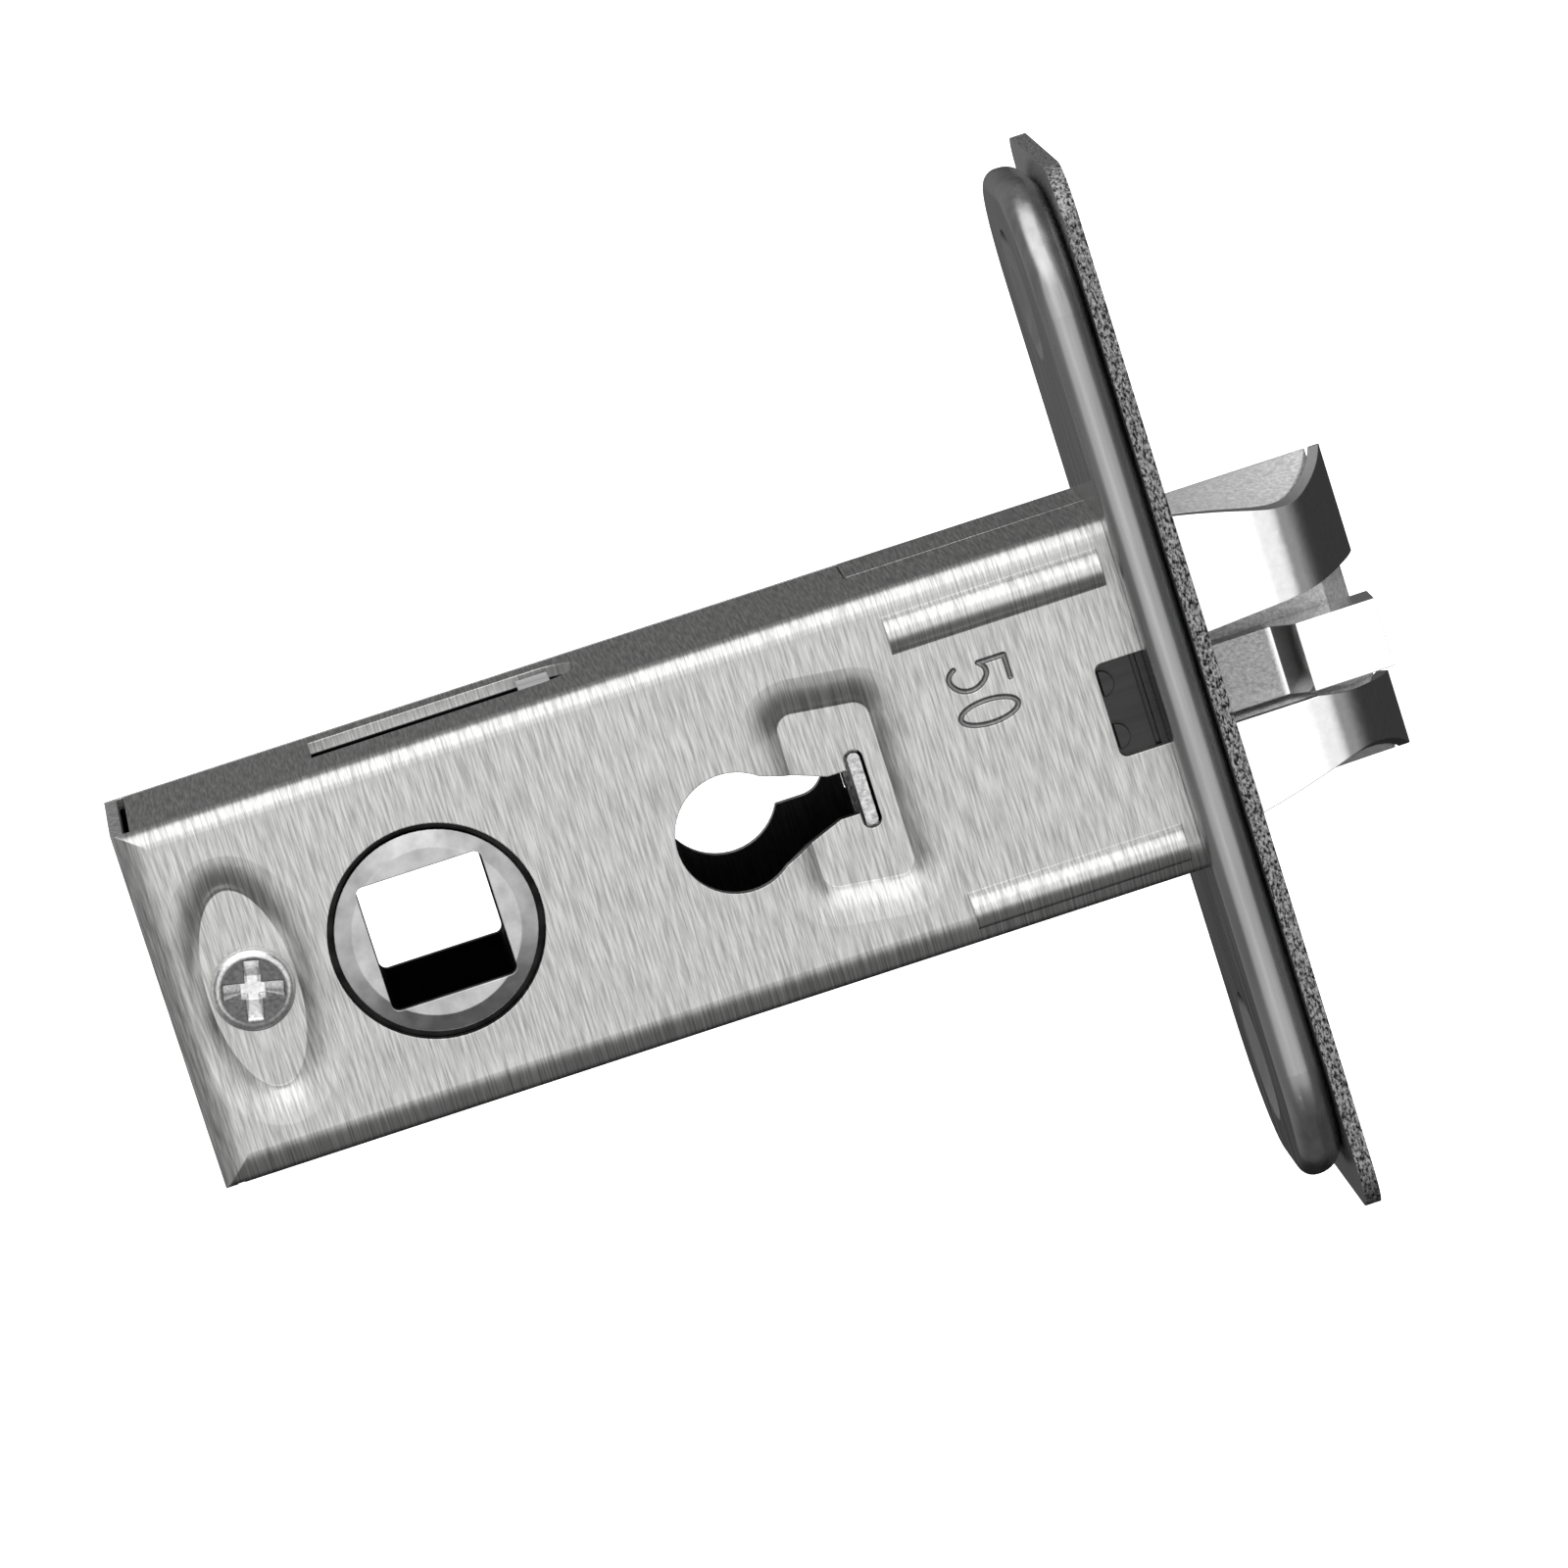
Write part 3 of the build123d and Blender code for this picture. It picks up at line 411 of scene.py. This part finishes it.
def spring_wire():
    # Drawn spring wire: dark, smooth and glossy along its length.
    material, tree = new_tree("spring_wire")
    drawn = grain(tree, (0.3 * MM, 0.3 * MM, 0.3 * MM))
    normal = relief(tree, drawn, 0.003 * MM, soft_edges(tree))
    metal(tree, tone(tree, drawn, "6E6E6E", "A0A0A0"), spread(tree, drawn, 0.2, 0.3), normal)
    return material


def coat(material, slot, *nodes):
    """Puts one finish on CAD nodes."""
    for node in nodes:
        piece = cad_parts[node]
        if not piece.material_slots:
            piece.data.materials.append(material)
        for place in piece.material_slots:
            place.material = material


class LATCH_OT_case(bpy.types.Operator):
    """Brushed stainless on the two shells of the case"""
    bl_idname = "latch.case"
    bl_label = "Finish the case"

    def execute(self, context):
        coat(brushed_stainless(), "case_sheet", "front_shell", "back_shell")
        return {"FINISHED"}


class LATCH_OT_faceplate(bpy.types.Operator):
    """Satin on the tray, and a torn edge on the plate"""
    bl_idname = "latch.faceplate"
    bl_label = "Finish the faceplate"

    def execute(self, context):
        coat(satin_stainless(), "faceplate_sheet", "forend_tray")
        coat(sheared_stainless(), "faceplate_sheet", "forend_plate")
        return {"FINISHED"}


class LATCH_OT_castings(bpy.types.Operator):
    """Zinc on the hub, the bolt and the middle tongue, and polish on the caps"""
    bl_idname = "latch.castings"
    bl_label = "Finish the castings"

    def execute(self, context):
        coat(turned_zinc(), "zinc_casting", "hub")
        coat(cast_zinc("cast_zinc", "D0D0D0", "FFFFFF", 0.65, 0.8, 0.14 * MM), "zinc_casting", "bolt_core")
        coat(tongue_zinc(), "zinc_casting", "middle_tongue")
        coat(polished_stainless(), "polished_sheet", "upper_cap", "lower_cap")
        return {"FINISHED"}


class LATCH_OT_inside(bpy.types.Operator):
    """Plating on the screw, post and rivets, a painted dark reflection on the screw's head, dull sheet on the
    straps and painted shade on the ties
    """
    bl_idname = "latch.inside"
    bl_label = "Finish the inner pieces"

    def execute(self, context):
        coat(screw_steel_painted_dark_face(), "plated_steel", "rear_screw")
        coat(plated_steel(), "plated_steel", "rear_post", "upper_rivet", "lower_rivet")
        staked = cast_zinc("staked_steel", "909090", "F0F0F0", 0.3, 0.4, 0.03 * MM)
        coat(staked, "inner_sheet", "spring_plate")
        coat(dull_sheet("dull_sheet", "D6D6D6", "FAFAFA", 0.55), "inner_sheet", "upper_strap", "lower_strap")
        # the ties inside the case get a near-black tone: painted shade
        coat(dull_sheet("painted_shade_sheet", "3A3A3A", "444444", 0.3), "inner_sheet", "front_tie", "back_tie")
        return {"FINISHED"}


def wound_spring(node, wire, turns, body, material):
    """A wire wound along X in place of a CAD spring."""
    low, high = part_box(node)
    whole = high.x - low.x
    radius = (high.z - low.z) / 2 - wire
    bpy.ops.object.select_all(action="DESELECT")
    bpy.ops.mesh.primitive_circle_add(vertices=WIRE_SIDES, radius=wire, location=(0, radius, 0))
    spring = bpy.context.object
    spring.name = node + "_wound"
    bpy.ops.object.transform_apply(location=True, rotation=True, scale=True)
    winding = spring.modifiers.new("winding", "SCREW")
    winding.axis = "X"
    winding.angle = 2 * math.pi
    winding.screw_offset = (whole - 2 * wire) / turns
    winding.iterations = turns
    winding.steps = TURN_STEPS
    winding.render_steps = TURN_STEPS
    bpy.ops.object.modifier_apply(modifier=winding.name)
    bpy.ops.object.mode_set(mode="EDIT")
    bpy.ops.mesh.select_all(action="SELECT")
    bpy.ops.mesh.remove_doubles(threshold=0.1 * wire)
    bpy.ops.mesh.fill_holes(sides=WIRE_SIDES)
    bpy.ops.mesh.normals_make_consistent(inside=False)
    bpy.ops.transform.translate(value=(low.x + wire, (low.y + high.y) / 2, (low.z + high.z) / 2))
    bpy.ops.object.mode_set(mode="OBJECT")
    bpy.ops.object.shade_smooth_by_angle(angle=math.radians(40))
    spring.data.materials.append(material)
    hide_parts(node)
    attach(spring, body)
    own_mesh(spring)


class LATCH_OT_springs(bpy.types.Operator):
    """Winds the two bolt springs and the tongue spring"""
    bl_idname = "latch.springs"
    bl_label = "Wind the springs"

    def execute(self, context):
        wires = context.scene.latch_springs
        material = spring_wire()
        for node in ("upper_spring", "lower_spring"):
            wound_spring(node, wires.bolt_wire, wires.bolt_turns, "case", material)
        wound_spring("tongue_spring", wires.tongue_wire, wires.tongue_turns, "bolt", material)
        return {"FINISHED"}


# Soft boxes and dark flags of the studio, seen from the latch: azimuth right of the marked face, elevation,
# inner and outer half angle, all in degrees, and strength.
SOFT_BOXES = (
    (-18, 8, 20, 42, 0.68),
    (24, 8, 20, 42, 0.68),
    (0, 66, 20, 50, 1.7),
    (140, -8, 14, 66, -0.26),
    (180, -36, 14, 32, -0.4),
    (0, -90, 30, 72, -0.13),
)
# Light of the room between the boxes, and the least that the flags leave of it
AMBIENT = 0.3
DARKEST = 0.02


def studio_world():
    """A dim room with smooth bright boxes and dark flags, which the metals mirror."""
    world = bpy.data.worlds.new("studio")
    world.use_nodes = True
    tree = world.node_tree
    tree.nodes.clear()
    way = add(tree, "TexCoord")
    total = add(tree, "Value")
    total.outputs[0].default_value = AMBIENT
    for azimuth, elevation, inner, outer, strength in SOFT_BOXES:
        a, e = math.radians(azimuth), math.radians(elevation)
        aim = (math.sin(a) * math.cos(e), -math.cos(a) * math.cos(e), math.sin(e))
        facing = add(tree, "VectorMath", {0: (way, "Generated")}, {1: aim}, operation="DOT_PRODUCT")
        glow = add(tree, "MapRange", {"Value": (facing, "Value")},
                   {"From Min": math.cos(math.radians(outer)), "From Max": math.cos(math.radians(inner)),
                    "To Min": 0.0, "To Max": strength}, interpolation_type="SMOOTHSTEP")
        total = add(tree, "Math", {0: (total, "Value"), 1: (glow, "Result")}, operation="ADD")
    lit = add(tree, "Math", {0: (total, "Value")}, {1: DARKEST}, operation="MAXIMUM")
    light = add(tree, "Background", {"Strength": (lit, "Value")}, {"Color": (1, 1, 1, 1)})
    add(tree, "OutputWorld", {"Surface": (light, "Background")})
    bpy.context.scene.world = world


def opal_acrylic():
    # Opal acrylic light table: an even white with no grain.
    material, tree = new_tree("opal_acrylic")
    shader = add(tree, "BsdfPrincipled", values={"Base Color": linear("F4F4F4"), "Roughness": 0.6,
                                                 "Emission Color": (1, 1, 1, 1), "Emission Strength": 1.0})
    add(tree, "OutputMaterial", {"Surface": (shader, "BSDF")})
    return material


class LATCH_OT_stage(bpy.types.Operator):
    """A pale floor, a soft studio and the camera"""
    bl_idname = "latch.stage"
    bl_label = "Set the stage"

    def execute(self, context):
        stage = context.scene.latch_stage
        bpy.ops.object.select_all(action="DESELECT")
        low = CAD_BOX[0][2] - stage.floor_drop
        bpy.ops.mesh.primitive_plane_add(size=FLOOR_WIDTH, location=(0, 0, low))
        floor = context.object
        floor.name = "floor"
        floor.data.materials.append(opal_acrylic())
        # the metals mirror the soft boxes alone
        floor.visible_glossy = False
        studio_world()
        bpy.ops.object.camera_add()
        camera = context.object
        camera.data.sensor_width = SENSOR_WIDTH
        camera.data.lens = stage.focal_length
        camera.data.shift_x, camera.data.shift_y = stage.shift
        camera.data.clip_start = 10 * MM
        place = Vector(stage.camera_place)
        aim = (Vector(stage.camera_target) - place).to_track_quat("-Z", "Y").to_matrix().to_4x4()
        camera.matrix_world = Matrix.Translation(place) @ aim @ Matrix.Rotation(stage.camera_roll, 4, "Z")
        context.scene.camera = camera
        context.scene.view_settings.view_transform = "Standard"
        return {"FINISHED"}


class LATCH_PT_panel(bpy.types.Panel):
    """Lists the steps"""
    bl_idname = "LATCH_PT_panel"
    bl_label = "Mortice latch"
    bl_space_type = "VIEW_3D"
    bl_region_type = "UI"
    bl_category = "Latch"

    def draw(self, context):
        for step in STEPS:
            self.layout.operator(step.bl_idname)


STEPS = (LATCH_OT_case, LATCH_OT_faceplate, LATCH_OT_castings, LATCH_OT_inside, LATCH_OT_springs,
         LATCH_OT_stage)
GROUPS = (("latch_finish", FinishSettings), ("latch_springs", SpringSettings),
          ("latch_stage", StageSettings))


def register():
    for name, group in GROUPS:
        bpy.utils.register_class(group)
        setattr(bpy.types.Scene, name, PointerProperty(type=group))
    for step in STEPS:
        bpy.utils.register_class(step)
    bpy.utils.register_class(LATCH_PT_panel)


def unregister():
    bpy.utils.unregister_class(LATCH_PT_panel)
    for step in reversed(STEPS):
        bpy.utils.unregister_class(step)
    for name, group in GROUPS:
        delattr(bpy.types.Scene, name)
        bpy.utils.unregister_class(group)


def main():
    register()
    bpy.ops.latch.case()
    bpy.ops.latch.faceplate()
    bpy.ops.latch.castings()
    bpy.ops.latch.inside()
    bpy.ops.latch.springs()
    bpy.ops.latch.stage()


if __name__ == "__main__":
    main()
